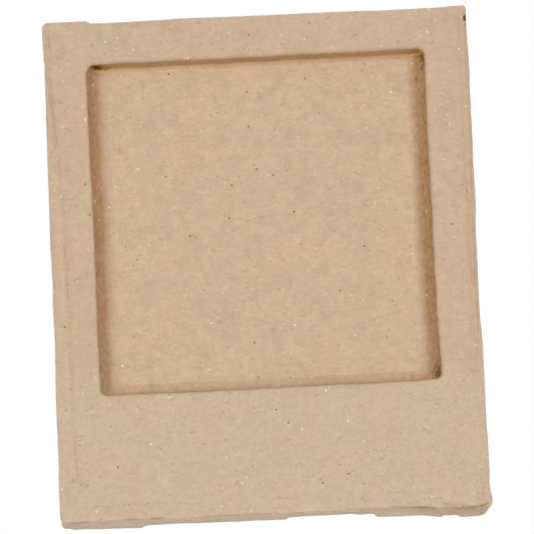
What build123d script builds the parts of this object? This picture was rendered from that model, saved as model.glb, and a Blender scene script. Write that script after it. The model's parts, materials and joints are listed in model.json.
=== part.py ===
from build123d import *
import os

# A paper-covered board frame for one square print, held to steel by two magnets in its back.
# It stands upright: X runs along its width, Z is up and its face looks along -Y.
# Every level is a distance in front of the back plane, which lies at Y = 0.

# Outline
frame_width = 90.0
frame_height = 107.0
frame_depth = 10.0
corner_radius = 1.3
soft_edge = 0.7  # round of the paper where it folds from the sides onto the face and back

# Photo recess, measured at its rim
side_border = 9.2
top_border = 9.0
bottom_border = 26.4
recess_corner = 1.5
side_slope = 1.6  # how far the left and right walls come in on their way to the floor
rim_round = 0.6

# Paper
cover_paper = 0.4  # three pasted plies
front_lap = 3.4  # how far the edge papers reach over the face
back_lap = 6.0
corner_turn = 7.0  # how far the top and bottom edge papers turn round the corners
glue_line = 0.05

# Greyboard
front_board_thickness = 2.0
floor_board_thickness = 1.5
strip_width = 2.0

# Magnets, flush with the back
magnet_diameter = 20.0
magnet_thickness = 3.0
magnet_chamfer = 0.25
magnet_inset = 19.0  # from the frame's top and bottom edges to a magnet's centre
seat_clearance = 0.3
adhesive_diameter = 16.0
adhesive_thickness = 0.4

# One overrun serves all cuts
overrun = 1.0

# Levels, worked out from the back
back_board_level = cover_paper
floor_board_level = magnet_thickness + adhesive_thickness
hollow_level = floor_board_level + floor_board_thickness
recess_floor_level = hollow_level + cover_paper
face_board_level = frame_depth - cover_paper
hollow_top_level = face_board_level - front_board_thickness
recess_depth = frame_depth - recess_floor_level

# Places in the face
recess_width = frame_width - 2 * side_border
recess_height = frame_height - top_border - bottom_border
recess_bottom = bottom_border - frame_height / 2
board_gap = cover_paper + glue_line
board_width = frame_width - 2 * board_gap
board_height = frame_height - 2 * board_gap
board_corner = corner_radius - board_gap
board_recess_width = recess_width + 2 * board_gap
board_recess_height = recess_height + 2 * board_gap
recess_middle = recess_bottom + recess_height / 2
magnet_places = {"upper": frame_height / 2 - magnet_inset, "lower": magnet_inset - frame_height / 2}
sides = {"left": -1, "right": 1}
ends = {"top": 1, "bottom": -1}


def half_width_at(level):
    # half the recess's width at a level: it narrows evenly from the rim to the floor
    return recess_width / 2 - side_slope * (frame_depth - level) / recess_depth


def recess_form(grow, low, high):
    # the recess as a solid between two levels, grown on its four sides
    with BuildPart() as form:
        with BuildSketch(Plane.XY.offset(recess_bottom - grow)):
            with BuildLine():
                Polyline(
                    (-half_width_at(low) - grow, -low),
                    (half_width_at(low) + grow, -low),
                    (half_width_at(high) + grow, -high),
                    (-half_width_at(high) - grow, -high),
                    close=True,
                )
            make_face()
        extrude(amount=recess_height + 2 * grow)
    return form.part


# The edge papers start as one shell round the sides, lapped onto the face and the back
with BuildPart() as edge_shell:
    with BuildSketch(Plane.XZ):
        RectangleRounded(frame_width, frame_height, corner_radius)
    extrude(amount=frame_depth)
    fillet(edges().group_by(Axis.Y)[0] + edges().group_by(Axis.Y)[-1], radius=soft_edge)
    with BuildSketch(Plane.XZ.offset(cover_paper)):
        RectangleRounded(
            frame_width - 2 * cover_paper,
            frame_height - 2 * cover_paper,
            corner_radius - cover_paper,
        )
    extrude(amount=frame_depth - 2 * cover_paper, mode=Mode.SUBTRACT)
    with BuildSketch(Plane.XZ.offset(face_board_level)):
        Rectangle(frame_width - 2 * front_lap, frame_height - 2 * front_lap)
    extrude(amount=cover_paper + overrun, mode=Mode.SUBTRACT)
    with BuildSketch(Plane.XZ.offset(cover_paper)):
        Rectangle(frame_width - 2 * back_lap, frame_height - 2 * back_lap)
    extrude(amount=-cover_paper - overrun, mode=Mode.SUBTRACT)

# The papers' two bending radii and the slope live in these solids: the open recess, and the recess
# with the folded paper's thickness added
with BuildPart() as open_recess:
    add(recess_form(0, recess_floor_level - overrun, frame_depth + overrun))
    fillet(edges().group_by(Axis.Y)[1], radius=recess_corner)

with BuildPart() as papered_recess:
    add(recess_form(cover_paper, recess_floor_level, frame_depth))
    fillet(edges().group_by(Axis.Y)[1], radius=recess_corner + cover_paper)

os.makedirs("parts", exist_ok=True)

# Front cover paper: the sheet over the face, folded down the four walls of the recess
with BuildPart() as front_cover_paper:
    with BuildSketch(Plane.XZ.offset(face_board_level)):
        Rectangle(frame_width - 2 * front_lap, frame_height - 2 * front_lap)
    extrude(amount=cover_paper)
    add(papered_recess.part)
    add(open_recess.part, mode=Mode.SUBTRACT)
    face_sheet = faces().filter_by(Plane.XZ).sort_by(Axis.Y)[0]
    fillet(face_sheet.inner_wires()[0].edges(), radius=rim_round)
front_cover_paper.part.label = "front_cover_paper"
export_step(front_cover_paper.part, "parts/front_cover_paper.step")

# Edge papers: the left and right strips lie between the top and bottom ones
for name, side in sides.items():
    with BuildPart() as edge_paper:
        add(edge_shell.part)
        with BuildSketch(Plane.XZ.offset(-overrun)):
            with Locations((side * frame_width / 2, 0)):
                Rectangle(frame_width, frame_height - 2 * corner_turn)
        extrude(amount=frame_depth + 2 * overrun, mode=Mode.INTERSECT)
    edge_paper.part.label = f"{name}_edge_paper"
    export_step(edge_paper.part, f"parts/{name}_edge_paper.step")

for name, end in ends.items():
    with BuildPart() as edge_paper:
        add(edge_shell.part)
        with BuildSketch(Plane.XZ.offset(-overrun)):
            with Locations((0, end * (frame_height - corner_turn) / 2)):
                Rectangle(frame_width, corner_turn)
        extrude(amount=frame_depth + 2 * overrun, mode=Mode.INTERSECT)
    edge_paper.part.label = f"{name}_edge_paper"
    export_step(edge_paper.part, f"parts/{name}_edge_paper.step")

# Recess floor paper: the sheet that the print is laid on
with BuildPart() as recess_floor_paper:
    add(recess_form(cover_paper, hollow_level, recess_floor_level))
recess_floor_paper.part.label = "recess_floor_paper"
export_step(recess_floor_paper.part, "parts/recess_floor_paper.step")

# Front board: greyboard with the die-cut window
with BuildPart() as front_board:
    with BuildSketch(Plane.XZ.offset(hollow_top_level)):
        RectangleRounded(board_width, board_height, board_corner)
    extrude(amount=front_board_thickness)
    add(recess_form(board_gap, hollow_top_level - overrun, frame_depth), mode=Mode.SUBTRACT)
front_board.part.label = "front_board"
export_step(front_board.part, "parts/front_board.step")

# Recess walls: strips on the floor board, the left and right ones cut on the slope
for name, side in sides.items():
    with BuildPart() as recess_wall:
        with BuildSketch(Plane.XY.offset(recess_bottom - board_gap)):
            with BuildLine():
                Polyline(
                    (side * (half_width_at(hollow_level) + board_gap), -hollow_level),
                    (side * (half_width_at(hollow_top_level) + board_gap), -hollow_top_level),
                    (side * (board_recess_width / 2 + strip_width), -hollow_top_level),
                    (side * (board_recess_width / 2 + strip_width), -hollow_level),
                    close=True,
                )
            make_face()
        extrude(amount=board_recess_height)
    recess_wall.part.label = f"{name}_recess_wall"
    export_step(recess_wall.part, f"parts/{name}_recess_wall.step")

for name, end in ends.items():
    with BuildPart() as recess_wall:
        with BuildSketch(Plane.XZ.offset(hollow_level)):
            with Locations((0, recess_middle + end * (board_recess_height + strip_width) / 2)):
                Rectangle(board_recess_width + 2 * strip_width, strip_width)
        extrude(amount=hollow_top_level - hollow_level)
    recess_wall.part.label = f"{name}_recess_wall"
    export_step(recess_wall.part, f"parts/{name}_recess_wall.step")

# Outer spacers: strips that close the hollow border along the frame's sides
for name, side in sides.items():
    with BuildPart() as spacer:
        with BuildSketch(Plane.XZ.offset(hollow_level)):
            with Locations((side * (board_width - strip_width) / 2, 0)):
                Rectangle(strip_width, board_height - 2 * strip_width)
        extrude(amount=hollow_top_level - hollow_level)
    spacer.part.label = f"{name}_spacer"
    export_step(spacer.part, f"parts/{name}_spacer.step")

for name, end in ends.items():
    with BuildPart() as spacer:
        with BuildSketch(Plane.XZ.offset(hollow_level)):
            with Locations((0, end * (board_height - strip_width) / 2)):
                Rectangle(board_width, strip_width)
            outer_corners = vertices().sort_by(Axis.Y, reverse=end > 0)[:2]
            fillet(outer_corners, radius=board_corner)
        extrude(amount=hollow_top_level - hollow_level)
    spacer.part.label = f"{name}_spacer"
    export_step(spacer.part, f"parts/{name}_spacer.step")

# Floor board: the thin panel that closes the recess and carries the magnets
with BuildPart() as floor_board:
    with BuildSketch(Plane.XZ.offset(floor_board_level)):
        RectangleRounded(board_width, board_height, board_corner)
    extrude(amount=floor_board_thickness)
floor_board.part.label = "floor_board"
export_step(floor_board.part, "parts/floor_board.step")

# Back board: as thick as the magnets need, with their two punched seats
with BuildPart() as back_board:
    with BuildSketch(Plane.XZ.offset(back_board_level)):
        RectangleRounded(board_width, board_height, board_corner)
        with Locations(*[(0, place) for place in magnet_places.values()]):
            Circle(magnet_diameter / 2 + seat_clearance, mode=Mode.SUBTRACT)
    extrude(amount=floor_board_level - back_board_level)
back_board.part.label = "back_board"
export_step(back_board.part, "parts/back_board.step")

# Back cover paper: the sheet inside the laps of the edge papers
with BuildPart() as back_cover_paper:
    with BuildSketch(Plane.XZ):
        Rectangle(frame_width - 2 * back_lap, frame_height - 2 * back_lap)
        with Locations(*[(0, place) for place in magnet_places.values()]):
            Circle(magnet_diameter / 2 + seat_clearance, mode=Mode.SUBTRACT)
    extrude(amount=cover_paper)
back_cover_paper.part.label = "back_cover_paper"
export_step(back_cover_paper.part, "parts/back_cover_paper.step")

# Magnets: ferrite discs, each on a double-sided disc stuck to the floor board
for name, place in magnet_places.items():
    with BuildPart() as magnet:
        with BuildSketch(Plane.XZ):
            with Locations((0, place)):
                Circle(magnet_diameter / 2)
        extrude(amount=magnet_thickness)
        chamfer(edges().filter_by(GeomType.CIRCLE), length=magnet_chamfer)
    magnet.part.label = f"{name}_magnet"
    export_step(magnet.part, f"parts/{name}_magnet.step")

    with BuildPart() as adhesive_disc:
        with BuildSketch(Plane.XZ.offset(magnet_thickness)):
            with Locations((0, place)):
                Circle(adhesive_diameter / 2)
        extrude(amount=adhesive_thickness)
    adhesive_disc.part.label = f"{name}_adhesive_disc"
    export_step(adhesive_disc.part, f"parts/{name}_adhesive_disc.step")
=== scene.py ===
import bpy
import bmesh
import json
import math
from mathutils import Matrix, Vector, noise


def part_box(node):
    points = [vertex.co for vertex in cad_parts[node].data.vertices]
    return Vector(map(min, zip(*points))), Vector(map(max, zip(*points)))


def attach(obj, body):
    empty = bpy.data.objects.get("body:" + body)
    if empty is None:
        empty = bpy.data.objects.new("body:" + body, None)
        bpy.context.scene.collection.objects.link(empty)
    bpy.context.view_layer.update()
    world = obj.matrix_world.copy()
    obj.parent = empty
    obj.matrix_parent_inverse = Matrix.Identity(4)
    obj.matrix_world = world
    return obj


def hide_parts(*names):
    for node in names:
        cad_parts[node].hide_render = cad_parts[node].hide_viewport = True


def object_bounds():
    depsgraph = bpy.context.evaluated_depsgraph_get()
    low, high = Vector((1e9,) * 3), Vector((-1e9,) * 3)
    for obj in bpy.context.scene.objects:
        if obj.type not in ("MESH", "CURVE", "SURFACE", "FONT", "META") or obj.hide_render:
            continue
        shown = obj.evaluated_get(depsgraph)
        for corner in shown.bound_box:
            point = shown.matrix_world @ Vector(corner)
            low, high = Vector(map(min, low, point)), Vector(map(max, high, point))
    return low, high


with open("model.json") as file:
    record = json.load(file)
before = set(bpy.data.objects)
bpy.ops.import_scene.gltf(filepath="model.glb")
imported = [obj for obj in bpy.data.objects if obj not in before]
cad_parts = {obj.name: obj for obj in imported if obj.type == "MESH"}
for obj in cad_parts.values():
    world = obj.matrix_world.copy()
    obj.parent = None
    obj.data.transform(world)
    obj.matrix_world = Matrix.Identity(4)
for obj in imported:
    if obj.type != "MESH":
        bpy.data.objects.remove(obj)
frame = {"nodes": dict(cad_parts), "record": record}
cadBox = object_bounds()
mm = 0.001
print("frame loaded:", len(frame["nodes"]), "nodes")

# sizes are in mm, and a level is a distance in front of the back plane
lowest, highest = cadBox
faceLevel = -lowest.y / mm
floorLevel = -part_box("recess_floor_paper")[0].y / mm

# a turn round the frame runs anticlockwise, seen from the front; each side faces this way, in degrees
facing = {"bottom": -90, "right": 0, "top": 90, "left": 180}
sides = list(facing)
wholeTurn = [(side, 0, 1) for side in sides]


def forSides(*values):
    # values for the bottom, right, top and left
    return dict(zip(sides, values))


outline = forSides(lowest.z / mm, highest.x / mm, highest.z / mm, lowest.x / mm)
borders = forSides(26.4, 9.2, 9, 9.2)  # from the outline to the recess's rim
outSign = forSides(-1, 1, 1, -1)


def grown(box, by):
    # a box of four sides moved outwards, by one number or by one for each side
    step = by if isinstance(by, dict) else dict.fromkeys(sides, by)
    return {side: box[side] + outSign[side] * step[side] for side in sides}


def eased(share):
    # 0 to 1, starting and ending gently
    held = min(max(share, 0.0), 1.0)
    return held * held * (3 - 2 * held)


def mixed(first, second, share):
    return first + (second - first) * share


window = grown(outline, {side: -border for side, border in borders.items()})


# places on a turn are (side, share of its straight run, share of the corner after it)
def placesAlong(box, runs, step, cornerSteps, closed=False):
    # runs are (side, from, to) in shares of a side, joined round the corners
    places = []
    for number, (side, start, end) in enumerate(runs):
        steps = max(1, round(lengthOf(box, side) * abs(end - start) / step))
        places += [(side, mixed(start, end, each / steps), 0.0) for each in range(steps + 1)]
        if closed or number < len(runs) - 1:
            places += [(side, 1.0, each / cornerSteps) for each in range(1, cornerSteps)]
    return places


def lengthOf(box, side):
    return box["right"] - box["left"] if side in ("bottom", "top") else box["top"] - box["bottom"]


def sideBeside(side, step):
    # the side after one, or before it with a step of -1
    return sides[(sides.index(side) + step) % len(sides)]


def through(values, share):
    # a smooth curve through evenly spaced values
    spot = share * (len(values) - 1)
    number = min(max(int(spot), 0), len(values) - 2)
    local = spot - number
    before, start, end, after = (
        values[min(max(number + step, 0), len(values) - 1)] for step in (-1, 0, 1, 2)
    )
    bend = 2 * before - 5 * start + 4 * end - after + local * (3 * (start - end) + after - before)
    return start + 0.5 * local * (end - before + local * bend)


def blended(values, place):
    # values for the sides, each one number or several along it, eased round the corners
    side, along, turned = place
    here, after = (
        value if isinstance(value, tuple) else (value, value)
        for value in (values[side], values[sideBeside(side, 1)])
    )
    return mixed(through(here, along), after[0], eased(turned))


def facingAt(place):
    side, along, turned = place
    angle = math.radians(facing[side] + 90 * turned)
    return Vector((math.cos(angle), math.sin(angle)))


def cornerCentre(box, radii, side):
    # centre of the round corner that follows a side
    right, top = side in ("bottom", "right"), side in ("right", "top")
    radius = radii[side]
    return Vector((
        box["right"] - radius if right else box["left"] + radius,
        box["top"] - radius if top else box["bottom"] + radius,
    ))


def pointAt(box, radii, place, cuts=None):
    # a place on a rounded rectangle; radii and cuts go with the side before their corner
    side, along, turned = place
    out = facingAt(place)
    centre = cornerCentre(box, radii, side)
    if turned:
        onArc = centre + out * radii[side]
        onChord = centre + radii[side] * facingAt((side, 1, 0)).lerp(facingAt((side, 1, 1)), turned)
        return onArc.lerp(onChord, cuts[side] if cuts else 0)
    before = sideBeside(side, -1)
    start = cornerCentre(box, radii, before) + out * radii[before]
    return start.lerp(centre + out * radii[side], along)


def waved(spot, waves, shift=Vector()):
    # smooth noise with waves of several lengths and heights
    return sum(2 * height * noise.noise(spot / length + shift) for length, height in waves)


# how the pasted skin wanders from its true shape, and how a mark is felt
unevenness = {
    "waves": ((21.0, 0.10), (7.0, 0.05), (2.4, 0.02)), "shift": Vector((7.3, 1.9, 4.1)),
    "fade": 5.0,  # a lump on a side fades out this far in from it
    "spread": 2.5,  # a mark is felt over this many of its widths
    "nearFace": 1.0,  # marks lie on what is this near the face
    "nearSide": 0.1, "offBack": 1.0,  # and on the bottom side, this near it and this far from the back
    # paths are as seen a little from below: this much lower for each mm that a point lies deeper
    "viewSlope": 0.21,
}


def newLump(side, along, level, soft, out, tone=0, fade=unevenness["fade"]):
    # along and level are spans, soft is how softly it ends in both, tone how much lighter it is
    return {"side": side, "spans": (along, level), "soft": soft, "out": out, "tone": tone, "fade": fade}


def newMark(path, deep, wide, tone):
    # a line pressed in, or raised if deep is negative, and darker or lighter
    across, up = zip(*path)
    spread = unevenness["spread"] * wide
    area = (min(across) - spread, max(across) + spread, min(up) - spread, max(up) + spread)
    return {"path": path, "area": area, "deep": deep, "wide": wide, "tone": tone}


# dents, laps and torn plies on the sides
lumps = [newLump(*row) for row in (
    ("bottom", (-50, 50), (-1, 11), (1, 1), 0.16),
    ("top", (-50, 50), (-1, 11), (1, 1), 0.09),
    ("bottom", (-43, -27.6), (-1, 3.6), (1.6, 2.5), 0.34),
    ("bottom", (-28, 2.4), (-1, 4), (1.5, 3), -0.14),
    ("bottom", (2.4, 16.5), (-1, 5), (0.9, 3), -0.5),
    ("bottom", (16.3, 20.8), (-1, 5), (0.9, 3), -0.26),
    ("bottom", (-43.5, -38), (-1, 4), (2.5, 3), -0.12),
    ("bottom", (14, 28), (7, 11), (3, 2), -0.25),
    ("bottom", (20.7, 34.9), (-1, 2.3), (0.7, 0.6), 0.42),
    ("bottom", (38.3, 50), (-1, 2), (0.5, 0.6), 0.46),
    ("bottom", (33, 50), (-1, 11), (6, 1), 0.55),
    ("bottom", (31, 50), (-1, 9.4), (9, 0.8), 0, -0.34),
    ("right", (-60, -50.6), (3, 11), (3.2, 4), 0.5),
    ("right", (-48, -38), (-1, 11), (4, 1), 0.08),
    ("right", (-16, 8.5), (-1, 11), (8, 1), -0.32),
    ("right", (22, 46), (-1, 11), (7, 1), 0.16),
    # a small notch near the top right corner, painted near black as shadow in it
    ("right", (50, 51.3), (9.2, 11), (0.3, 0.5), -0.3, -2.2, 0.9),
    ("left", (45.5, 60), (3, 11), (1, 2), 0.16),
    ("left", (-60, -24), (-1, 11), (6, 1), 0.12),
    ("left", (-43, -34), (-1, 11), (3, 1), -0.15),
    ("left", (-5, 4), (-1, 11), (5, 1), -0.14),
    ("top", (-60, -35.2), (5, 11), (0.6, 3), 0.52),
    ("top", (-33, -17), (5, 11), (3, 3), -0.12),
    ("top", (24, 60), (6, 11), (5, 2), -0.07),
    ("top", (41, 60), (6, 11), (2, 2), 0.12),
)]

marks = [newMark(*row) for row in (
    # seams of the left and right edge papers, pressed flat under the cover paper, with painted shade along
    # them and a painted highlight on a crest beside the left one
    ((
        (-44.2, 46.4), (-43.2, 30.5), (-42.7, 24.5), (-42.1, 15), (-41.8, 5), (-41.6, -6.4),
        (-41.5, -32.1), (-41.4, -41), (-41.05, -43.9), (-40.4, -45.1), (-39.5, -45.9),
    ), 0.12, 0.5, -0.16),
    (((-41.5, -36.5), (-41.3, -41), (-41, -44)), 0.03, 0.18, -0.4),
    (((-43, 15), (-42.8, 5), (-42.5, -6.4), (-42.4, -32.1)), -0.06, 0.5, 0.3),
    (((43.1, 51), (43.3, 20), (43, 0), (43, -17)), 0, 0.5, -0.15),
    (((44.5, 52), (44.6, 34), (44.45, 20), (44.2, 5), (44.15, -17)), 0, 0.3, -0.35),
    (((44.6, 49.6), (44.5, 48.3)), 0.05, 0.2, -0.4),
    # darker marks pressed in at the end of the lower strip
    (((-42.1, -45), (-41.3, -45.05)), 0.05, 0.25, -0.8),
    (((-40.5, -45.1), (-40.3, -45.1)), 0, 0.25, -0.7),
    (((-39.5, -45.8), (-39.5, -46.4)), 0.05, 0.25, -0.9),
    # folds and a pleat along the bottom right edge, with painted shade in their creases and a painted
    # highlight on a raised fold
    (((25, -53.6), (28.5, -53.9), (31.5, -54.2)), 0.05, 0.7, -0.22),
    (((28.9, -53.95), (31.2, -54.25), (33.4, -54.4)), 0.1, 0.45, -0.22),
    (((35.2, -53.4), (37, -53.75), (39.2, -53.9), (41.2, -54.2), (43.1, -54.2)), 0.3, 0.26, -0.62),
    (((35, -54), (37.2, -54.2), (39.6, -54.35), (41.4, -54.65)), 0.25, 0.26, -0.5),
    (((36, -53.75), (38.2, -54), (40.4, -54.2)), -0.12, 0.22, 0.5),
    (((43, -54.15), (44.4, -53.75)), 0.15, 0.3, -1),
    (((30.2, -54.35), (33.5, -54.5)), 0.1, 0.26, -0.4),
    (((37.5, -54.85), (41.6, -54.95)), 0.15, 0.28, -0.5),
    # short darker lines pressed in along the bottom fold
    (((-42.6, -54.2), (-39.3, -54)), 0.08, 0.35, -0.5),
    (((-31.7, -53.75), (-29.2, -53.8)), 0.1, 0.28, -0.7),
    (((-25.9, -53.8), (-23.6, -53.85)), 0.1, 0.3, -0.9),
    (((-14.8, -53.8), (-7.5, -53.9)), 0.1, 0.28, -0.5),
    (((-6.8, -53.75), (-1.2, -53.9)), 0.1, 0.28, -0.5),
    (((17.6, -54.15), (24, -54.25), (30.2, -54.2)), 0.08, 0.25, -0.34),
)]


def distanceTo(spot, path):
    nearest = math.inf
    for start, end in zip(path, path[1:]):
        line = Vector(end) - Vector(start)
        share = min(max((spot - Vector(start)).dot(line) / line.length_squared, 0.0), 1.0)
        nearest = min(nearest, (spot - Vector(start) - line * share).length)
    return nearest


def wobble(spot, channel):
    # smooth noise that no two channels share
    return waved(spot, unevenness["waves"], unevenness["shift"] * channel)


def handmade(flat, level, stray=1.0):
    # where a point of the true shape really lies, and how much darker or lighter its colour is there, much
    # of it painted shade in pressed marks and painted highlight on raised ones
    spot = Vector((flat.x, flat.y, level))
    moved = spot + Vector((stray * wobble(spot, 1), stray * wobble(spot, 2), wobble(spot, 3)))
    tone = 0.0
    for lump in lumps:
        side, fade = lump["side"], lump["fade"]
        along, across = (flat.x, flat.y) if side in ("bottom", "top") else (flat.y, flat.x)
        inset = outSign[side] * (outline[side] - across)
        if inset > fade:
            continue
        weight = 1 - eased(inset / fade)
        for value, (low, high), soft in zip((along, level), lump["spans"], lump["soft"]):
            weight *= eased(0.5 + (value - low) / soft) * eased(0.5 + (high - value) / soft)
        out = facingAt((side, 0, 0)) * lump["out"] * weight
        moved += Vector((out.x, out.y, 0))
        tone += lump["tone"] * weight
    onBottom = flat.y - outline["bottom"] < unevenness["nearSide"] and level > unevenness["offBack"]
    if level > faceLevel - unevenness["nearFace"] or onBottom:
        seen = Vector((moved.x, moved.y - unevenness["viewSlope"] * (faceLevel - moved.z)))
        for mark in marks:
            left, right, low, high = mark["area"]
            if left < seen.x < right and low < seen.y < high:
                away = distanceTo(seen, mark["path"]) / mark["wide"]
                pressed = math.exp(-away * away)
                if onBottom:
                    moved.y += mark["deep"] * pressed
                else:
                    moved.z -= mark["deep"] * pressed
                tone += mark["tone"] * pressed
    return moved, tone


def newObject(name, data):
    made = bpy.data.objects.new(name, data)
    bpy.context.scene.collection.objects.link(made)
    return made


def gridFaces(rows, wide, closed):
    # four-sided faces between rows of points
    faces = []
    for start in range(0, (rows - 1) * wide, wide):
        for across in range(wide if closed else wide - 1):
            after = (across + 1) % wide
            faces.append((start + across, start + after, start + wide + after, start + wide + across))
    return faces


def skin(name, rows, closed=False, flipped=False, stray=1.0):
    # a mesh from rows of (flat place, level, tone with its painted shade, share of painted side shade), each
    # point moved to its handmade place
    points, tones, sideShadeShares = [], [], []
    for row in rows:
        for flat, level, tone, *share in row:
            moved, more = handmade(flat, level, stray)
            points.append((moved.x * mm, -moved.z * mm, moved.y * mm))
            tones.append(tone + more)
            sideShadeShares.append(share[0] if share else 0.0)
    faces = gridFaces(len(rows), len(rows[0]), closed)
    mesh = bpy.data.meshes.new(name)
    mesh.from_pydata(points, [], [face[::-1] for face in faces] if flipped else faces)
    mesh.attributes.new("paperTone", "FLOAT", "POINT").data.foreach_set("value", tones)
    mesh.attributes.new("sideShare", "FLOAT", "POINT").data.foreach_set("value", sideShadeShares)
    mesh.shade_smooth()
    return newObject(name, mesh)


# front cover paper: the sheet over the face, cut at the recess and folded down its walls
coverSheet = {
    "tucked": 1,  # it starts this far inside the outline, under the laps
    "below": 0.10,  # and lies this far under the laps' outer face
    "lapSunk": 0.12, "lapShare": 1 / 12,  # and a little deeper over this share of its way to the rim
    "rim": forSides(0.8, 1, 0.9, 0.62),  # round of the fold into the recess
    "radii": forSides(1.5, 1.3, 1.5, 1.5),
    "opening": 0.3,  # how much the corners' rounds grow for each mm down onto the floor
    "cuts": forSides(0, 0.1, 0.6, 0),  # the top left corner is spanned straight
    "turn": 0.35,  # the recess is turned a little against the outline, in degrees
    # how far each side of the rim strays outwards, from its start to its end
    "strays": forSides(
        (-0.33, -0.17, -0.11, -0.17, -0.2), (0, -0.33, -0.23, -0.24, 0),
        (0, 0.05, 0.03, 0.06, 0.2), (0.05, 0.09, -0.11, 0.08, 0),
    ),
    "waves": ((5, 0.07), (1.7, 0.04)), "waveLevel": 5,  # length and height of the ripples along the rim
    # the folded paper falls to a soft foot of this height and comes this far onto the floor
    "reach": forSides(3.4, 4.1, 1.3, 5),
    "foot": forSides(1.1, 0, 0.9, 0),
    "steep": forSides(1.2, 4.1, 0.5, 5),  # the steep part ends here
    "hollow": forSides(4, 1.9, 5, 2.3),  # power of its curve: higher is squarer
    "sunk": 0.04,  # how far it ends under the floor paper
    # tones at these distances down the paper, from where the fold starts: painted shade, with paste, down
    # the recess walls and onto the floor's edge
    "tones": forSides(
        ((0, 0), (3.5, -0.42), (4.9, -0.58), (7, -0.2), (8.6, 0)),
        ((0, 0), (0.8, -0.06), (1.7, -0.88), (4.4, -0.88), (5.4, -0.58), (6.6, -0.12), (7.4, 0)),
        ((0, 0), (0.8, -0.08), (1.5, -0.4), (3, -0.7), (3.9, -0.9), (4.6, -0.62), (5.3, -0.32), (6, -0.06)),
        ((0, 0), (0.5, -0.03), (1.25, -0.82), (4, -0.76), (5, -0.4), (6.2, -0.1), (7.4, 0)),
    ),
    # paste and shade gathered in the corners: how strong, how far along the wall before, how fast it fades
    # round the corner, how far along the wall after, how far in
    "pockets": {
        "bottom": (-0.62, 2.8, 0, 2, 1.4), "right": (-0.45, 2, 0, 2.5, 0.9),
        "top": (-1.3, 2.4, 2.2, 0.1, 0.5),
    },
    "faceRows": 32, "rimRows": 8, "wallRows": 26, "step": 0.75, "cornerSteps": 10,
    "crowding": 1.4,  # the wall's rows lie closer towards its top
    "stray": 0.5,  # share of the unevenness that moves it sideways
}
outlineRadii = {
    "front": forSides(0.9, 0.6, 1.4, 1.3),
    "back": forSides(2.5, 1.3, 1.3, 0.9),
    "least": 0.3,
}


def radiiAt(inset, level):
    # the outline's corner radii at a level, smaller further in
    back, front, least = (outlineRadii[name] for name in ("back", "front", "least"))
    return {side: max(mixed(back[side], front[side], level / faceLevel) - inset, least) for side in sides}


windowCentre = Vector(((window["left"] + window["right"]) / 2, (window["bottom"] + window["top"]) / 2))


def recessPoint(place, insets, radii):
    # a place on the recess at these insets from its rim
    box = grown(window, {side: -inset for side, inset in insets.items()})
    flat = pointAt(box, radii, place, coverSheet["cuts"])
    ripple = waved(Vector((flat.x, flat.y, coverSheet["waveLevel"])), coverSheet["waves"])
    flat += facingAt(place) * (blended(coverSheet["strays"], place) + ripple)
    return windowCentre + Matrix.Rotation(math.radians(coverSheet["turn"]), 2) @ (flat - windowCentre)


def toneAt(stops, down):
    # the tone between (distance, tone) stops
    for (start, before), (end, after) in zip(stops, stops[1:]):
        if down < end:
            return mixed(before, after, (down - start) / (end - start))
    return stops[-1][1]


def wallPath(side):
    # (inset, level, tone) down one wall, from its rim to the floor
    rim, reach, foot, steep, hollow, tones = (
        coverSheet[name][side] for name in ("rim", "reach", "foot", "steep", "hollow", "tones")
    )
    top = faceLevel - coverSheet["below"]
    low = floorLevel - coverSheet["sunk"]
    path = [(-rim, top, 0.0)]
    for step in range(1, coverSheet["rimRows"] + 1):
        angle = math.radians(90 * step / coverSheet["rimRows"])
        path.append((-rim * (1 - math.sin(angle)), top - rim * (1 - math.cos(angle))))
    for step in range(1, coverSheet["wallRows"] + 1):
        across = (step / coverSheet["wallRows"]) ** coverSheet["crowding"]
        fall = max(1 - reach * across / steep, 0.0) ** hollow
        path.append((reach * across, low + (top - rim - low - foot) * fall + foot * (1 - across) ** 2))
    down = 0.0
    for number in range(1, len(path)):
        before, here = path[number - 1], path[number]
        down += math.dist(before[:2], here)
        path[number] = (*here, toneAt(tones, down))
    return path[1:]


def pocketTone(place, inset):
    # how much paste and painted shade darken a wall near the corners of the recess
    side, along, turned = place
    length = lengthOf(window, side)
    tone = 0.0
    for corner, (strength, before, fading, after, inwards) in coverSheet["pockets"].items():
        if corner == side:
            away = fading * turned if turned else (1 - along) * length / before
        elif corner == sideBeside(side, -1) and not turned:
            away = fading + along * length / after
        else:
            continue
        tone += strength * math.exp(-away * away - (inset / inwards) ** 2)
    return tone


def frontCoverPaper():
    size = coverSheet
    places = placesAlong(outline, wholeTurn, size["step"], size["cornerSteps"], closed=True)
    level = faceLevel - size["below"]
    rows = []
    outer = grown(outline, -size["tucked"])
    rimInsets = {side: -rim for side, rim in size["rim"].items()}
    rimRadii = {side: radius + size["rim"][side] for side, radius in size["radii"].items()}
    for step in range(size["faceRows"] + 1):
        share = step / size["faceRows"]
        sunk = size["lapSunk"] * (1 - eased(share / size["lapShare"]))
        row = []
        for place in places:
            edge = pointAt(outer, radiiAt(size["tucked"], faceLevel), place)
            rim = recessPoint(place, rimInsets, rimRadii)
            row.append((edge.lerp(rim, share), level - sunk, 0.0))
        rows.append(row)
    paths = {side: wallPath(side) for side in sides}
    for step in range(size["rimRows"] + size["wallRows"]):
        insets, levels, tones = (
            {side: path[step][part] for side, path in paths.items()} for part in range(3)
        )
        radii = {
            side: radius - min(insets[side], 0) + size["opening"] * max(insets[side], 0)
            for side, radius in size["radii"].items()
        }
        shown = min((step + 1) / size["rimRows"], 1) ** 3
        row = []
        for place in places:
            inset = blended(insets, place)
            tone = blended(tones, place) + shown * pocketTone(place, max(inset, 0))
            row.append((recessPoint(place, insets, radii), blended(levels, place), tone))
        rows.append(row)
    return skin("frontCoverPaper", rows, closed=True, stray=size["stray"])


# recess floor paper: the sheet that the print is laid on
floorSheet = {"margin": 0.3, "step": 0.8}


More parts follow.
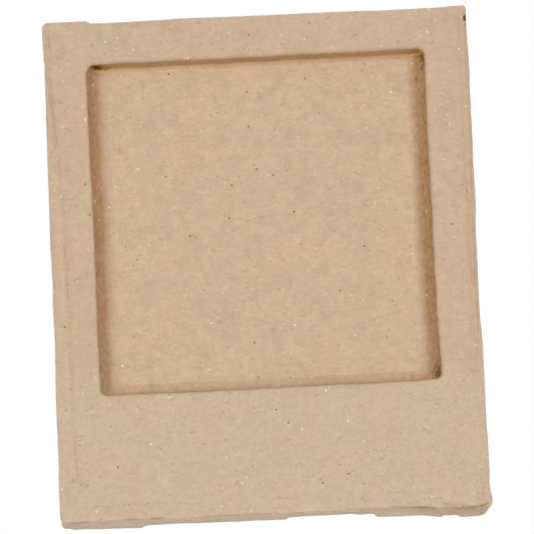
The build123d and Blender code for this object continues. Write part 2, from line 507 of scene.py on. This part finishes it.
def recessFloorPaper():
    area = grown(window, floorSheet["margin"])

    def spaced(start, end):
        steps = round((area[end] - area[start]) / floorSheet["step"])
        return [mixed(area[start], area[end], each / steps) for each in range(steps + 1)]

    across, up = spaced("left", "right"), spaced("bottom", "top")
    return skin("recessFloorPaper", [[(Vector((x, z)), floorLevel, 0.0) for x in across] for z in up])


# edge papers: strips pasted round the sides, lapped onto the face and the back with torn edges
edgeStrips = {
    "softFront": 0.75, "softBack": 0.7,  # rounds of the two folds
    "step": 0.45, "cornerSteps": 10,
    "lapRows": 12, "arcRows": 6, "sideRows": 18, "backRows": 8,
    # length and height of the waves of a torn edge
    "tear": ((6, 0.35), (1.3, 0.12)), "tearShift": Vector((3.7, 8.1, 2.3)),
    "lapStep": 0.015,  # how far a lap stands above the face
    "bevel": 0.7, "lapEnd": 0.03,  # it thins out over this length and ends this far under the face
    "tuck": 0.12, "tuckTone": -0.5,  # how deep and dark the torn edge on the back ends
    "mitre": 6.2,  # towards a corner the laps are laid askew over this length
    # the top and bottom strips turn round the corners onto the sides and lie a little higher there
    "backLap": 6, "leg": 7, "legLift": 0.012, "legEnd": -0.03,
    "upright": 4.5,  # the left and right strips start this far from the corners, under the others
    # painted shade greys each side: how much at its front and its back, and the levels between which it
    # changes
    "frontSideShade": forSides(0, 0.65, 0.65, 0.65),
    "backSideShade": forSides(1, 0.3, 0.3, 0.3),
    "sideShadeFrom": forSides(0, 7, 7, 7),
    "sideShadeTo": forSides(8, 9.6, 9.6, 9.6),
    "sideShadeFold": 1.8,  # the painted shade of a side is full once the paper has turned this steeply
}
frontLaps = forSides((3.2, 3.6), (1.9, 2.1), (2.6, 3), (1.8, 1.9, 2.9, 3.3, 3.35, 3.4))
ownLaps = {"bottom": {"left": (6, 4.4)}}  # where the bottom strip turns up the left side
leg, upright = (edgeStrips[name] / lengthOf(outline, "left") for name in ("leg", "upright"))
edgeRuns = {
    "left": [("left", upright, 1 - upright)], "right": [("right", upright, 1 - upright)],
    "top": [("right", 1 - leg, 1), ("top", 0, 1), ("left", 0, leg)],
    "bottom": [("left", 1 - leg, 1), ("bottom", 0, 1), ("right", 0, leg)],
}


def torn(spot, channel):
    # how far a torn edge strays at a spot
    return waved(Vector((spot.x, spot.y, 0)), edgeStrips["tear"], edgeStrips["tearShift"] * channel)


def edgeProfile(frontLap, backLap):
    # one section through a strip from back to front, as (inset, level, outwards, forwards, tone)
    size = edgeStrips
    back, front = size["softBack"], size["softFront"]
    section = [(backLap, size["tuck"], 0, -1, size["tuckTone"])]
    for row in range(1, size["backRows"]):
        section.append((mixed(backLap, back, eased(row / (size["backRows"] - 1))), 0, 0, -1, 0))
    turns = [math.radians(90 * row / size["arcRows"]) for row in range(1, size["arcRows"] + 1)]
    for angle in turns:
        out, up = math.sin(angle), math.cos(angle)
        section.append((back * (1 - out), back * (1 - up), out, -up, 0))
    for row in range(1, size["sideRows"] + 1):
        section.append((0, mixed(back, faceLevel - front, row / size["sideRows"]), 1, 0, 0))
    for angle in turns:
        out, up = math.cos(angle), math.sin(angle)
        section.append((front * (1 - out), faceLevel - front * (1 - up), out, up, 0))
    sheet = faceLevel - coverSheet["below"]
    for row in range(1, size["lapRows"] + 1):
        share = row / size["lapRows"]
        inset = mixed(front, frontLap - size["bevel"], share)
        section.append((inset, mixed(faceLevel, sheet + size["lapStep"], share), 0, 1, 0))
    section.append((frontLap, sheet - size["lapEnd"], 0, 1, 0))
    return section


def stripPoint(place, inset, level):
    # a place on a strip: square to the outline, but mitred towards the corners
    side, along, turned = place
    mitred = pointAt(grown(outline, -inset), radiiAt(inset, level), place)
    if turned:
        return mitred
    square = pointAt(outline, radiiAt(0, level), place) - facingAt(place) * inset
    away = min(along, 1 - along) * lengthOf(outline, side)
    return mitred.lerp(square, min(max(away / edgeStrips["mitre"], 0), 1))


def edgePaper(strip):
    size = edgeStrips
    places = placesAlong(outline, edgeRuns[strip], size["step"], size["cornerSteps"])
    hasLegs = len(edgeRuns[strip]) > 1
    laps = {**frontLaps, **ownLaps.get(strip, {})}
    columns = []
    for number, place in enumerate(places):
        side, along, turned = place
        onOutline = pointAt(outline, radiiAt(0, faceLevel), place)
        front = blended(laps, place) + torn(onOutline, 1)
        back = size["backLap"] + torn(onOutline, 2)
        fromEnd = min(number, len(places) - 1 - number)
        lift = 0.0
        if hasLegs and fromEnd == 0:
            lift = size["legEnd"]
        elif hasLegs and turned:
            lift = size["legLift"] * eased(turned if side == strip else 1 - turned)
        elif hasLegs and side != strip:
            lift = size["legLift"]
        behind, before, start, end = (
            blended(size[part], place) for part in ("backSideShade", "frontSideShade", "sideShadeFrom", "sideShadeTo")
        )
        column = []
        for inset, level, outwards, forwards, tone in edgeProfile(front, back):
            moved = place
            if hasLegs and fromEnd < 2:
                ragged = torn(Vector((inset * 2 + level, onOutline.x + onOutline.y)), 3)
                moved = (side, along + ragged / lengthOf(outline, side), turned)
            flat = stripPoint(moved, inset, level) + facingAt(place) * outwards * lift
            # painted shade that greys the side, more as the paper turns from the face onto it
            sideShade = mixed(behind, before, eased((level - start) / (end - start)))
            column.append((flat, level + forwards * lift, tone, sideShade * eased(size["sideShadeFold"] * outwards)))
        columns.append(column)
    return skin(strip + "EdgePaper", list(zip(*columns)))


# back cover paper: the sheet between the laps, punched for the magnets
backSheet = {
    "hole": 10.3, "lip": 0.5, "flare": 1.006, "below": 0.06, "underLap": 1.6, "rows": 16, "step": 0.9,
}


def backCoverPaper():
    size = backSheet
    area = grown(outline, size["underLap"] - edgeStrips["backLap"])
    halves = [dict(area, bottom=0.0), dict(area, top=0.0)]
    pieces = []
    for half, magnet in zip(halves, ("upper_magnet", "lower_magnet")):
        low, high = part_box(magnet)
        centre = Vector(((low.x + high.x) / 2 / mm, (low.z + high.z) / 2 / mm))
        square = dict.fromkeys(sides, 0.0)
        edges = [pointAt(half, square, place) for place in placesAlong(half, wholeTurn, size["step"], 1)]
        rows = []
        for step in range(size["rows"] + 1):
            row = []
            for edge in edges:
                hole = centre + (edge - centre).normalized() * size["hole"]
                row.append((edge.lerp(hole, step / size["rows"]), size["below"], 0.0))
            rows.append(row)
        rows.append([
            (centre + (flat - centre) * size["flare"], size["below"] + size["lip"], 0.0)
            for flat, level, tone in rows[-1]
        ])
        pieces.append(skin("backCoverPaper", rows, closed=True, flipped=True))
    joined = bmesh.new()
    for piece in pieces:
        joined.from_mesh(piece.data)
    bmesh.ops.remove_doubles(joined, verts=joined.verts, dist=0.01 * mm)
    joined.to_mesh(pieces[0].data)
    joined.free()
    bpy.data.objects.remove(pieces[1])
    pieces[0].data.shade_smooth()
    return pieces[0]


# front board: its window's edge is crushed back a little by the paper folded over it
boardShape = {
    "gap": 0.45, "window": 1.2, "crushed": 0.5, "pressed": 0.3, "radius": 0.6, "step": 3.0, "cornerSteps": 4,
}


def frontBoard():
    size = boardShape
    low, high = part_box("front_board")
    front, back = -low.y / mm - size["pressed"], -high.y / mm
    places = placesAlong(outline, wholeTurn, size["step"], size["cornerSteps"], closed=True)
    radii = dict.fromkeys(sides, size["radius"])
    loops = (
        (outline, -size["gap"], back), (outline, -size["gap"], front),
        (window, size["window"] + size["crushed"], front), (window, size["window"], front - size["crushed"]),
        (window, size["window"], back), (outline, -size["gap"], back),
    )
    points = [
        (flat.x * mm, -level * mm, flat.y * mm)
        for box, by, level in loops for flat in (pointAt(grown(box, by), radii, place) for place in places)
    ]
    mesh = bpy.data.meshes.new("frontBoard")
    mesh.from_pydata(points, [], gridFaces(len(loops), len(places), True))
    made = bmesh.new()
    made.from_mesh(mesh)
    bmesh.ops.remove_doubles(made, verts=made.verts, dist=0.001 * mm)
    bmesh.ops.recalc_face_normals(made, faces=made.faces)
    made.to_mesh(mesh)
    made.free()
    return newObject("frontBoard", mesh)


boardPiece = frontBoard()
papers = {
    "frontCoverPaper": (frontCoverPaper(), "front_cover_paper"),
    "recessFloorPaper": (recessFloorPaper(), "recess_floor_paper"),
    "backCoverPaper": (backCoverPaper(), "back_cover_paper"),
}
for strip in edgeRuns:
    papers[strip + "EdgePaper"] = (edgePaper(strip), strip + "_edge_paper")
print("papers made:", len(papers))


def linear(code):
    # an sRGB hex colour as Blender's linear one
    parts = [int(code[start:start + 2], 16) / 255 for start in (1, 3, 5)]
    return [part / 12.92 if part <= 0.04045 else ((part + 0.055) / 1.055) ** 2.4 for part in parts] + [1.0]


def addNode(tree, kind, inputs=None, **settings):
    # one node: settings are its own, inputs are numbers or other nodes' sockets
    node = tree.nodes.new(kind)
    for name, value in settings.items():
        setattr(node, name, value)
    for name, value in (inputs or {}).items():
        if isinstance(value, bpy.types.NodeSocket):
            tree.links.new(value, node.inputs[name])
        else:
            node.inputs[name].default_value = value
    return node


def calc(tree, operation, *values, kind="Math", part=0, **settings):
    # a maths node on numbers or sockets
    node = addNode(tree, "ShaderNode" + kind, dict(enumerate(values)), operation=operation, **settings)
    return node.outputs[part]


def ranged(tree, value, span, to=(0.0, 1.0), soft=False):
    # a value taken from one span to another
    inputs = {"Value": value, "From Min": span[0], "From Max": span[1], "To Min": to[0], "To Max": to[1]}
    kind = "SMOOTHSTEP" if soft else "LINEAR"
    return addNode(tree, "ShaderNodeMapRange", inputs, interpolation_type=kind).outputs[0]


def blend(tree, share, first, second, kind="MIX"):
    # two colours mixed by a share, or the first multiplied by the second
    inputs = {0: share, 6: first, 7: second}
    return addNode(tree, "ShaderNodeMix", inputs, data_type="RGBA", blend_type=kind).outputs[2]


def noiseOn(tree, place, scale, detail, roughness=0.5, part="Fac"):
    inputs = {"Vector": place, "Scale": scale, "Detail": detail, "Roughness": roughness}
    return addNode(tree, "ShaderNodeTexNoise", inputs).outputs[part]


def ramp(tree, value, *stops):
    # colours at places between 0 and 1
    node = addNode(tree, "ShaderNodeValToRGB", {"Fac": value})
    elements = node.color_ramp.elements
    elements.remove(elements[1])
    elements[0].position, elements[0].color = stops[0][0], linear(stops[0][1])
    for position, colour in stops[1:]:
        elements.new(position).color = linear(colour)
    return node.outputs[0]


def bumped(tree, height, deep):
    return addNode(tree, "ShaderNodeBump", {"Height": height, "Distance": deep * mm}).outputs[0]


def stretched(tree, place, scale, **more):
    return addNode(tree, "ShaderNodeMapping", {"Vector": place, "Scale": scale, **more}).outputs[0]


def inMillimetres(tree):
    # a place on the object, in mm
    return stretched(tree, addNode(tree, "ShaderNodeTexCoord").outputs["Object"], (1 / mm,) * 3)


def newMaterial(name):
    material = bpy.data.materials.new(name)
    material.use_nodes = True
    material.node_tree.nodes.clear()
    return material, material.node_tree


def finished(material, inputs):
    shader = addNode(material.node_tree, "ShaderNodeBsdfPrincipled", inputs)
    addNode(material.node_tree, "ShaderNodeOutputMaterial", {"Surface": shader.outputs[0]})
    return material


# recycled kraft paper, pasted and dried: matt, short fibres lying one way, cloudy, with bark specks
kraftLook = {
    "colour": "#ccb197", "pinkish": "#cdb097", "greenish": "#cbb296",
    "tintScale": 0.11, "tintAt": (0.36, 0.64),  # slow drift between these three
    "low": "#cdb59c", "lowLightRange": (-19, -33),  # painted light: paler and cooler towards the bottom, between these heights
    "side": "#bfad9c",  # and painted shade on the sides
    "cloud": (6, 0.06), "mottle": (2, 0.11), "grain": (0.7, 0.09),  # size and strength of the patterns
    "fibre": (1.6, 0.6), "fibreHeight": 0.055,  # length and width of a streak, and its strength
    "fibreBend": (5, 1.6),  # how it wanders
    "blot": (2.2, 0.75), "blotShift": (31.7, 12.3, 5.9),  # soft blots where the pulp lies thick or thin
    "darkBlots": ((0.6, 0.74), -0.055), "paleBlots": ((0.38, 0.26), 0.035),
    # paste and painted shade are redder at the left rim and browner from there to the right
    "pasteShadeLeft": "#a86e3c", "pasteShadeRight": "#a8783e", "leftRange": (-35.6, -32.6),
    # greener towards the bottom, between these heights
    "pasteShadeLow": "#a67f52", "pasteShadeLowRange": (-2, -25),
    # paler and yellower on the upper wall: its height and slope, and how near it this starts and is full
    "pasteShadeTop": "#c79b58", "upperWall": 44.7, "upperWallSlope": 0.009, "pasteShadeTopRange": (1.2, 0.7),
    # size and roughness of its blotches, and how much weaker and stronger it is there
    "blotch": 1.2, "blotchRough": 0.68, "blotchAt": (0.3, 0.7), "blotchRange": (0.6, 1.4),
    "paintedShadowBlack": "#33200f", "wearAndHighlight": "#ead8c0",  # painted shadow where the tone is darkest, and painted highlight on raised crests
    # shares for each unit of the painted shade and tone
    "pasteShadePerTone": 0.75, "blackPerTone": 0.8, "highlightPerTone": 0.25,
    "bump": 0.05, "grainBump": 0.5, "roughness": 0.9, "specular": 0.25,
}


def kraftPaper(name, fibresAlong, changes=None):
    look = {**kraftLook, **(changes or {})}
    material, tree = newMaterial(name)
    inMm = inMillimetres(tree)

    def drawn(size, **more):
        # noise drawn out along the fibres
        length, width = size
        scale = [1 / length if axis == fibresAlong else 1 / width for axis in "xyz"]
        return stretched(tree, swung, scale, **more)

    wander, sway = look["fibreBend"]
    warp = noiseOn(tree, inMm, 1 / wander, 1, part="Color")
    swing = calc(tree, "SUBTRACT", warp, (0.5,) * 3, kind="VectorMath")
    swung = calc(tree, "MULTIPLY_ADD", swing, (sway,) * 3, inMm, kind="VectorMath")
    fibre = noiseOn(tree, drawn(look["fibre"]), 1, 3)
    patterns = [(fibre, look["fibreHeight"])]
    for pattern in ("cloud", "mottle", "grain"):
        length, height = look[pattern]
        patterns.append((noiseOn(tree, inMm, 1 / length, 1), height))
    shade = 1 - sum(height for made, height in patterns)
    for made, height in patterns:
        shade = calc(tree, "MULTIPLY_ADD", made, 2 * height, shade)
    blots = noiseOn(tree, drawn(look["blot"], Location=look["blotShift"]), 1, 1)
    for span, strength in (look["darkBlots"], look["paleBlots"]):
        shade = calc(tree, "ADD", shade, ranged(tree, blots, span, (0.0, strength), soft=True))

    axes = addNode(tree, "ShaderNodeSeparateXYZ", {0: inMm}).outputs
    start, end = look["tintAt"]
    drift = noiseOn(tree, inMm, look["tintScale"], 2)
    colour = ramp(tree, drift, (start, look["greenish"]), (0.5, look["colour"]), (end, look["pinkish"]))
    # painted light towards the bottom, and painted shade on the sides
    low = ranged(tree, axes["Z"], look["lowLightRange"], soft=True)
    side = addNode(tree, "ShaderNodeAttribute", attribute_name="sideShare").outputs["Fac"]
    for part, amount in (("low", low), ("side", side)):
        change = [new / old for new, old in zip(linear(look[part]), linear(look["colour"]))]
        colour = blend(tree, amount, colour, change, "MULTIPLY")
    colour = blend(tree, 1, colour, shade, "MULTIPLY")

    # tone darkens the paper towards the colours of paste and painted shade, to near black as painted shadow,
    # and lightens it as a painted highlight
    given = addNode(tree, "ShaderNodeAttribute", attribute_name="paperTone").outputs["Fac"]
    blotches = noiseOn(tree, inMm, 1 / look["blotch"], 4, look["blotchRough"])
    tone = calc(tree, "MULTIPLY", given, ranged(tree, blotches, look["blotchAt"], look["blotchRange"]))
    fromLeft = ranged(tree, axes["X"], look["leftRange"])
    pasteShade = blend(tree, fromLeft, linear(look["pasteShadeLeft"]), linear(look["pasteShadeRight"]))
    pasteShade = blend(tree, ranged(tree, axes["Z"], look["pasteShadeLowRange"]), pasteShade, linear(look["pasteShadeLow"]))
    levelled = calc(tree, "MULTIPLY_ADD", axes["X"], -look["upperWallSlope"], axes["Z"])
    away = calc(tree, "ABSOLUTE", calc(tree, "SUBTRACT", levelled, look["upperWall"]))
    pasteShade = blend(tree, ranged(tree, away, look["pasteShadeTopRange"]), pasteShade, linear(look["pasteShadeTop"]))
    for perTone, plus, over in (
        (-look["pasteShadePerTone"], 0, pasteShade),
        (-look["blackPerTone"], -look["blackPerTone"], linear(look["paintedShadowBlack"])),
        (look["highlightPerTone"], 0, linear(look["wearAndHighlight"])),
    ):
        share = calc(tree, "MULTIPLY_ADD", tone, perTone, plus, use_clamp=True)
        colour = blend(tree, share, colour, over)

    height = calc(tree, "MULTIPLY_ADD", patterns[-1][0], look["grainBump"], fibre)
    return finished(material, {
        "Base Color": colour, "Roughness": look["roughness"], "Specular IOR Level": look["specular"],
        "Normal": bumped(tree, height, look["bump"]),
    })


# greyboard: pulped waste paper pressed to a sheet, brownish grey, with fibres in layers at its cut edges
boardLook = {"dark": "#6f685d", "pale": "#9b9284", "layers": (2.5, 0.25, 2.5), "bump": 0.1}


def greyboard():
    look = boardLook
    material, tree = newMaterial("greyboard")
    layers = stretched(tree, inMillimetres(tree), [1 / length for length in look["layers"]])
    pulp = noiseOn(tree, layers, 1, 4)
    return finished(material, {
        "Base Color": ramp(tree, pulp, (0.3, look["dark"]), (0.7, look["pale"])), "Roughness": 0.95,
        "Normal": bumped(tree, pulp, look["bump"]),
    })


# hard ferrite: pressed and sintered powder, near black, dull satin, with a worn bevel, chips and scratches
ferriteLook = {
    "dark": "#222225", "light": "#3c3c40", "wearAndHighlight": "#737272", "chip": "#19191b",
    "powder": 0.33, "rim": (9.55, 9.85), "rimWear": (0.35, 0.65),
    "scratch": (9, 0.12), "scratchTurn": 0.6, "scratchAt": (0.66, 0.72), "scratchWear": 0.45,
    "chips": 1.6, "chipAt": (0.12, 0.07), "chipDark": 0.9, "chipDepth": -1.5,
    "roughness": (0.4, 0.65), "bump": 0.03,
}


def ferrite():
    look = ferriteLook
    material, tree = newMaterial("sinteredFerrite")
    inMm = inMillimetres(tree)
    powder = noiseOn(tree, inMm, 1 / look["powder"], 5)
    colour = ramp(tree, powder, (0.3, look["dark"]), (0.75, look["light"]))
    # the bevel is worn bright: both magnets lie on the middle line, one above and one below
    low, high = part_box("upper_magnet")
    axes = addNode(tree, "ShaderNodeSeparateXYZ", {0: inMm}).outputs
    fromCentre = calc(tree, "SUBTRACT", calc(tree, "ABSOLUTE", axes["Z"]), (low.z + high.z) / 2 / mm)
    flat = addNode(tree, "ShaderNodeCombineXYZ", {0: axes["X"], 2: fromCentre}).outputs[0]
    radius = calc(tree, "LENGTH", flat, kind="VectorMath", part="Value")
    rimWear = ranged(tree, noiseOn(tree, inMm, 0.5, 3), look["rimWear"])
    wornRim = calc(tree, "MULTIPLY", ranged(tree, radius, look["rim"]), rimWear)
    long, wide = look["scratch"]
    drawn = stretched(tree, inMm, (1 / long, 1.0, 1 / wide), Rotation=(0, look["scratchTurn"], 0))
    scratches = ranged(tree, noiseOn(tree, drawn, 1, 1), look["scratchAt"], (0, look["scratchWear"]))
    colour = blend(tree, calc(tree, "MAXIMUM", wornRim, scratches), colour, linear(look["wearAndHighlight"]))
    cells = addNode(tree, "ShaderNodeTexVoronoi", {"Vector": inMm, "Scale": 1 / look["chips"]})
    chips = ranged(tree, cells.outputs["Distance"], look["chipAt"], (0.0, look["chipDark"]))
    colour = blend(tree, chips, colour, linear(look["chip"]))
    return finished(material, {
        "Base Color": colour, "Roughness": ranged(tree, powder, (0.0, 1.0), look["roughness"]),
        "Normal": bumped(tree, calc(tree, "MULTIPLY_ADD", chips, look["chipDepth"], powder), look["bump"]),
    })


# double-sided adhesive film: milky, slightly tacky-looking acrylic
def adhesiveFilm():
    material, tree = newMaterial("adhesiveFilm")
    haze = noiseOn(tree, inMillimetres(tree), 0.5, 2)
    colour = ramp(tree, haze, (0.0, "#d6d4cb"), (1.0, "#e6e4dc"))
    return finished(material, {"Base Color": colour, "Roughness": 0.35})


facePaper = kraftPaper("kraftFace", "x")
floorPaper = kraftPaper("kraftFloor", "x", {
    "fibre": (2.2, 0.6), "fibreHeight": 0.09,
    "colour": "#cdb297", "pinkish": "#cfb297", "greenish": "#cdb397",
})
stripAcross = kraftPaper("kraftStripAcross", "x")
stripUpright = kraftPaper("kraftStripUpright", "z")
paperFor = {
    "recessFloorPaper": floorPaper, "topEdgePaper": stripAcross, "bottomEdgePaper": stripAcross,
    "leftEdgePaper": stripUpright, "rightEdgePaper": stripUpright,
}
slotLooks = {
    "greyboard": greyboard(), "ferrite": ferrite(), "adhesive_film": adhesiveFilm(),
    "kraft_paper": facePaper,
}
for row in frame["record"]["subparts"]:
    node = frame["nodes"][row["node"]]
    node.data.materials.clear()
    node.data.materials.append(slotLooks[row["material_slot"]])
print("materials made")


# bark specks, cream specks and loose fibres caught in the paper; shy is how far paste and painted shade keep
# them off
scatters = {
    "barkSpecks": dict(colour="#9a7e60", perMm2=0.006, length=0.55, width=0.45, seed=11, shy=1.0),
    "creamSpecks": dict(colour="#e7d7c0", perMm2=0.008, length=0.6, width=0.48, seed=23, shy=1.2),
    "looseFibres": dict(
        colour="#a1866a", perMm2=0.0018, length=1.3, width=0.16, seed=37, shy=2.5, bent=True,
    ),
    "dimFibres": dict(colour="#c2a78c", perMm2=0.07, length=1.0, width=0.5, seed=41, shy=2.0),
    "paleFibres": dict(colour="#d5bda2", perMm2=0.07, length=0.85, width=0.5, seed=53, shy=1.0),
}
scatterShape = {
    "growth": (0.35, 1.25),  # the least and the most of the given size
    "thin": 0.06, "bentThick": 0.3,  # how thick specks and bent fibres are
    "directions": ((0.3, 0, -0.5), (1, 0, 0.5)),  # mostly from left to right
}


def speckMaterial(name, colour):
    # bark and bleached pulp: matt, with the same soft grain as the paper round it
    material, tree = newMaterial(name)
    grain = noiseOn(tree, inMillimetres(tree), 4, 2)
    shade = calc(tree, "MULTIPLY_ADD", grain, 0.6, 0.7)
    return finished(material, {
        "Base Color": blend(tree, 1, linear(colour), shade, "MULTIPLY"),
        "Roughness": 0.9, "Specular IOR Level": 0.2,
    })


def scatterTree(name, bent):
    # specks or short bent fibres lying flat on a surface
    tree = bpy.data.node_groups.new(name, "GeometryNodeTree")
    for label, kind in (
        ("Geometry", "Geometry"), ("Per square metre", "Float"), ("Length", "Float"), ("Width", "Float"),
        ("Shy of paste", "Float"), ("Seed", "Int"), ("Material", "Material"),
    ):
        tree.interface.new_socket(name=label, in_out="INPUT", socket_type="NodeSocket" + kind)
    tree.interface.new_socket(name="Geometry", in_out="OUTPUT", socket_type="NodeSocketGeometry")
    given = addNode(tree, "NodeGroupInput").outputs

    def add(kind, inputs, **settings):
        return addNode(tree, kind, inputs, **settings).outputs

    tone = add("GeometryNodeInputNamedAttribute", {"Name": "paperTone"}, data_type="FLOAT")[0]
    clean = calc(tree, "MULTIPLY_ADD", tone, given["Shy of paste"], 1.0, use_clamp=True)
    density = calc(tree, "MULTIPLY", clean, given["Per square metre"])
    spread = add("GeometryNodeDistributePointsOnFaces",
                 {"Mesh": given["Geometry"], "Density": density, "Seed": given["Seed"]})
    if bent:
        line = add("GeometryNodeCurveQuadraticBezier",
                   {"Resolution": 7, "Start": (-0.5, 0, 0), "Middle": (0.05, 0.3, 0), "End": (0.5, 0, 0)})
        ring = add("GeometryNodeCurvePrimitiveCircle", {"Resolution": 5, "Radius": 0.04})
        shape = add("GeometryNodeCurveToMesh",
                    {"Curve": line[0], "Profile Curve": ring[0], "Fill Caps": True})
    else:
        shape = add("GeometryNodeMeshIcoSphere", {"Radius": 0.5, "Subdivisions": 1})
    least, most = scatterShape["directions"]
    direction = add("FunctionNodeRandomValue", {0: least, 1: most, "Seed": given["Seed"]},
                    data_type="FLOAT_VECTOR")[0]
    laid = add("FunctionNodeAlignRotationToVector", {"Rotation": spread["Rotation"], "Vector": direction},
               axis="X", pivot_axis="Z")[0]
    small, large = scatterShape["growth"]
    growth = add("FunctionNodeRandomValue", {2: small, 3: large, "Seed": given["Seed"]},
                 data_type="FLOAT")[1]
    length, width = (calc(tree, "MULTIPLY", growth, given[part]) for part in ("Length", "Width"))
    thick = scatterShape["bentThick" if bent else "thin"] * mm
    size = add("ShaderNodeCombineXYZ", {0: length, 1: length if bent else width, 2: thick})[0]
    placed = add("GeometryNodeInstanceOnPoints",
                 {"Points": spread["Points"], "Instance": shape[0], "Rotation": laid, "Scale": size})
    real = add("GeometryNodeRealizeInstances", {"Geometry": placed[0]})
    painted = add("GeometryNodeSetMaterial", {"Geometry": real[0], "Material": given["Material"]})
    addNode(tree, "NodeGroupOutput", {0: painted[0]})
    return tree


def scatter(name, look, surface):
    tree = scatterTree(name, look.get("bent", False))
    source = newObject(name + "Source", surface)
    modifier = source.modifiers.new(name, "NODES")
    modifier.node_group = tree
    values = {
        "Per square metre": look["perMm2"] / mm ** 2,
        "Length": look["length"] * mm, "Width": look["width"] * mm,
        "Shy of paste": look["shy"], "Seed": look["seed"], "Material": speckMaterial(name, look["colour"]),
    }
    for socket in tree.interface.items_tree:
        if socket.in_out == "INPUT" and socket.name in values:
            modifier[socket.identifier] = values[socket.name]
    bpy.context.view_layer.update()
    evaluated = source.evaluated_get(bpy.context.evaluated_depsgraph_get())
    mesh = bpy.data.meshes.new_from_object(evaluated)
    mesh.name = name
    bpy.data.objects.remove(source)
    print(name, "made:", len(mesh.polygons), "faces")
    return newObject(name, mesh)


surface = bmesh.new()
for piece, node in papers.values():
    surface.from_mesh(piece.data)
surfaceMesh = bpy.data.meshes.new("paperSurface")
surface.to_mesh(surfaceMesh)
surface.free()
specks = [scatter(name, look, surfaceMesh) for name, look in scatters.items()]

# the papers get their thickness, and every piece rides on the frame's one body
paperThickness = 0.3
for name, (piece, node) in papers.items():
    solid = piece.modifiers.new("thickness", "SOLIDIFY")
    solid.thickness = paperThickness * mm
    solid.offset = -1
    piece.data.materials.append(paperFor.get(name, facePaper))
    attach(piece, "root")
    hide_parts(node)
for piece in specks:
    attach(piece, "root")
boardPiece.data.materials.append(slotLooks["greyboard"])
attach(boardPiece, "root")
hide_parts("front_board")
print("pieces dressed")


# the photo's view: a long lens from a little below, slightly askew
photoView = {
    "distance": 1500, "azimuth": 0.54, "elevation": -11.83, "roll": 2.5, "sensor": 36, "reach": 20,
    "imageSize": 534, "pixelsPerMm": 4.747, "faceAtPixel": (264.69, 261.61),
}
azimuth, elevation, roll = (math.radians(photoView[name]) for name in ("azimuth", "elevation", "roll"))
scale, distance, imageSize = (photoView[name] for name in ("pixelsPerMm", "distance", "imageSize"))
back = Vector((math.sin(azimuth), -math.cos(azimuth), 0)) * math.cos(elevation)
back.z = math.sin(elevation)
level = Vector((math.cos(azimuth), math.sin(azimuth), 0))
up = back.cross(level)
acrossImage = level * math.cos(roll) - up * math.sin(roll)
upImage = level * math.sin(roll) + up * math.cos(roll)
aside, below = ((imageSize / 2 - pixel) / scale for pixel in photoView["faceAtPixel"])
aim = Vector((0, -faceLevel, 0)) + acrossImage * aside - upImage * below
camera = newObject("camera", bpy.data.cameras.new("camera"))
camera.data.sensor_width = photoView["sensor"]
camera.data.lens = photoView["sensor"] * scale * distance / imageSize
camera.data.clip_end = photoView["reach"]
turned = Matrix((acrossImage, upImage, back)).transposed()
camera.matrix_world = Matrix.Translation((aim + back * distance) * mm) @ turned.to_4x4()
bpy.context.scene.camera = camera

# lights, in metres: a soft one in front, and bounce as from a white room on the other sides
lampLooks = {
    "frontLight": dict(place=(0, -2.38, -0.22), size=1.4, watts=41.6, colour="#fffdfa"),
    "bounceBelow": dict(place=(0, 0.35, -1.1), size=0.8, watts=6.7),
    "bounceAbove": dict(place=(0, 0.5, 1.8), size=1, watts=20),
    "bounceLeft": dict(place=(-1.9, 0.6, 0.3), size=1, watts=22),
    "bounceRight": dict(place=(1.9, 0.6, 0.3), size=1, watts=22),
    "backLight": dict(place=(0, 2.3, 0.4), size=1.2, watts=14),
}
for name, look in lampLooks.items():
    data = bpy.data.lights.new(name, "AREA")
    data.shape, data.size, data.energy = "DISK", look["size"], look["watts"]
    data.color = linear(look.get("colour", "#ffffff"))[:3]
    lamp = newObject(name, data)
    place = Vector(look["place"])
    lamp.location = place
    lamp.rotation_euler = (-place).to_track_quat("-Z", "Y").to_euler()
    lamp.visible_camera = False

# the world is white where it is seen, and dimmer where it only lights the object
worldLight = {"ambient": 0.345, "seen": 1.0}
world = bpy.data.worlds.new("studio")
bpy.context.scene.world = world
world.use_nodes = True
worldTree = world.node_tree
worldTree.nodes.clear()
ray = addNode(worldTree, "ShaderNodeLightPath").outputs
seen = calc(worldTree, "MAXIMUM", ray["Is Camera Ray"], ray["Is Glossy Ray"])
seen = calc(worldTree, "MAXIMUM", seen, ray["Is Transmission Ray"])
strength = ranged(worldTree, seen, (0.0, 1.0), (worldLight["ambient"], worldLight["seen"]))
sky = addNode(worldTree, "ShaderNodeBackground", {"Color": linear("#ffffff"), "Strength": strength})
addNode(worldTree, "ShaderNodeOutputWorld", {"Surface": sky.outputs[0]})

# the floor, in metres, is bright to the camera alone, so that it doesn't light the object
floorLook = {"size": 12.0, "drop": 1.5, "colour": "#f4f3f1", "glow": 0.58, "bounce": "#969592"}
floorMesh = bpy.data.meshes.new("studioFloor")
half, drop = floorLook["size"] / 2, -floorLook["drop"]
corners = [(-half, -half, drop), (half, -half, drop), (half, half, drop), (-half, half, drop)]
floorMesh.from_pydata(corners, [], [(0, 1, 2, 3)])
studioFloor = newObject("studioFloor", floorMesh)
floorMaterial, floorTree = newMaterial("paleFloor")
onCamera = addNode(floorTree, "ShaderNodeLightPath").outputs["Is Camera Ray"]
finished(floorMaterial, {
    "Base Color": blend(floorTree, onCamera, linear(floorLook["bounce"]), linear(floorLook["colour"])),
    "Roughness": 0.8, "Emission Color": linear("#ffffff"),
    "Emission Strength": calc(floorTree, "MULTIPLY", onCamera, floorLook["glow"]),
})
floorMesh.materials.append(floorMaterial)

bpy.context.scene.view_settings.view_transform = "Standard"
print("lights, floor and camera made")
